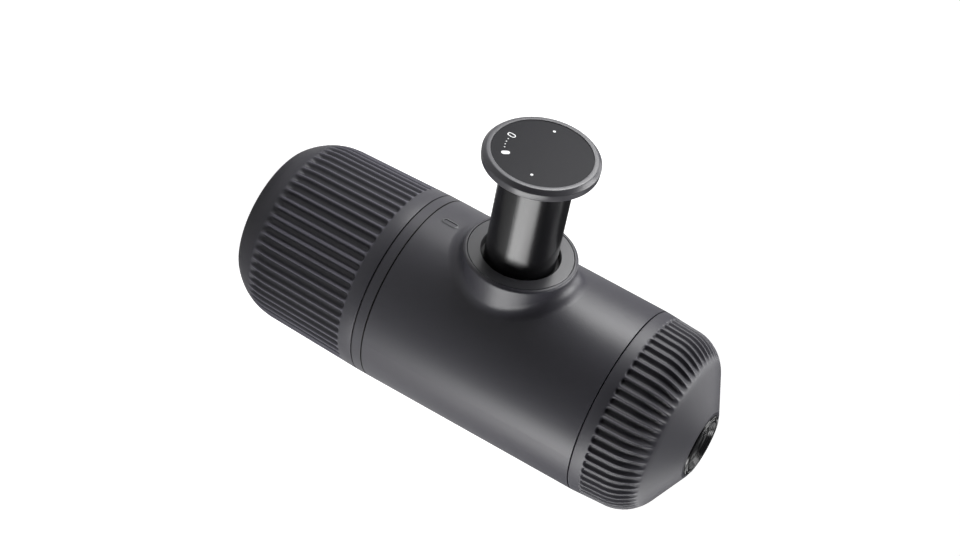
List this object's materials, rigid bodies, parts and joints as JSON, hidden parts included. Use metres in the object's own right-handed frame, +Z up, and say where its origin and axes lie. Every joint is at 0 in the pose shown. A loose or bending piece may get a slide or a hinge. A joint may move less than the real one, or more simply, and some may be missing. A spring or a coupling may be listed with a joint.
{
  "type": "handheld manual espresso maker",
  "caption": "Hand-pumped espresso maker: ribbed cup over a screwed water tank, housing with a side piston that twists to lock, and a ribbed screwed outlet head.",
  "frame": {"origin": "centre of the cup's flat base, on the ground", "axes": "+Z up the main axis from cup to outlet head, -Y out of the boss along the piston, +X to the right seen from the piston"},
  "size_m": [0.062, 0.105, 0.156],
  "materials": {
    "housing_plastic": "satin, fine spark texture",
    "cup_plastic": "satin, ribbed",
    "head_plastic": "satin, ribbed",
    "tank_plastic": "dark, semi-gloss",
    "collar_plastic": "satin, lighter grey",
    "cap_plastic": "satin with a bright worn edge",
    "inlay_film": "matt, with printed marks",
    "sleeve_plastic": "polished black",
    "spout_plastic": "polished black",
    "frame_plastic": "plain moulded",
    "pump_plastic": "natural acetal",
    "silicone": "soft silicone",
    "black_rubber": "soft black",
    "stainless": "drawn and brushed",
    "spring_steel": "bright drawn wire"
  },
  "bodies": {
    "main_body": {"main_housing": "housing_plastic", "tank_socket": "frame_plastic", "group_head": "frame_plastic", "frame_screws": "stainless", "inlet_valve": "silicone", "outlet_valve": "silicone", "inlet_filter": "stainless", "vent_valve": "silicone", "dispersion_screen": "stainless", "screen_screw": "stainless", "group_gasket": "silicone", "lock_collar": "collar_plastic", "sleeve_guide": "frame_plastic", "wiper_ring": "black_rubber", "pump_cylinder": "pump_plastic", "pump_front_cap": "pump_plastic", "pump_manifold": "pump_plastic", "lock_ring": "pump_plastic", "return_spring": "spring_steel"},
    "plunger": {"plunger_rod": "stainless", "plunger_head": "pump_plastic", "plunger_seal": "black_rubber"},
    "piston": {"piston_sleeve": "sleeve_plastic", "piston_cap": "cap_plastic", "cap_inlay": "inlay_film", "cap_screw": "stainless"},
    "tank_seal": {"tank_gasket": "silicone"},
    "tank": {"water_tank": "tank_plastic"},
    "drinking_cup": {"cup": "cup_plastic"},
    "basket": {"filter_basket": "stainless"},
    "outlet": {"outlet_head": "head_plastic", "nozzle_insert": "spout_plastic", "valve_spring": "spring_steel"},
    "check_poppet": {"pressure_valve": "pump_plastic"}
  },
  "joints": [
    {"name": "piston_press", "type": "slide", "parent": "main_body", "child": "plunger", "axis": [0, 1, 0], "range_m": [0, 0.034], "stiffness_N_per_m": 300, "springref_m": -0.01, "deforming": ["return_spring"]},
    {"name": "piston_twist", "type": "hinge", "parent": "plunger", "child": "piston", "pos_m": [0, 0, 0.0852], "axis": [0, 1, 0], "range_deg": [0, 45]},
    {"name": "tank_rise", "type": "slide", "parent": "main_body", "child": "tank_seal", "axis": [0, 0, -1], "range_m": [0, 0.006]},
    {"name": "tank_turn", "type": "hinge", "parent": "tank_seal", "child": "tank", "pos_m": [0, 0, 0.0515], "axis": [0, 0, -1], "range_deg": [0, 120.1]},
    {"name": "cup_pull", "type": "slide", "parent": "tank", "child": "drinking_cup", "axis": [0, 0, -1], "range_m": [0, 0.046]},
    {"name": "head_rise", "type": "slide", "parent": "main_body", "child": "basket", "axis": [0, 0, 1], "range_m": [0, 0.0083]},
    {"name": "head_turn", "type": "hinge", "parent": "basket", "child": "outlet", "pos_m": [0, 0, 0.1235], "axis": [0, 0, 1], "range_deg": [0, 150]},
    {"name": "valve_lift", "type": "slide", "parent": "outlet", "child": "check_poppet", "axis": [0, 0, 1], "range_m": [0, 0.0015], "stiffness_N_per_m": 500, "springref_m": -0.0002, "deforming": ["valve_spring"]}
  ],
  "couplings": [
    {"joint": "tank_turn", "follows": "tank_rise", "rad_per_m": 349.07},
    {"joint": "head_turn", "follows": "head_rise", "rad_per_m": 314.16}
  ]
}
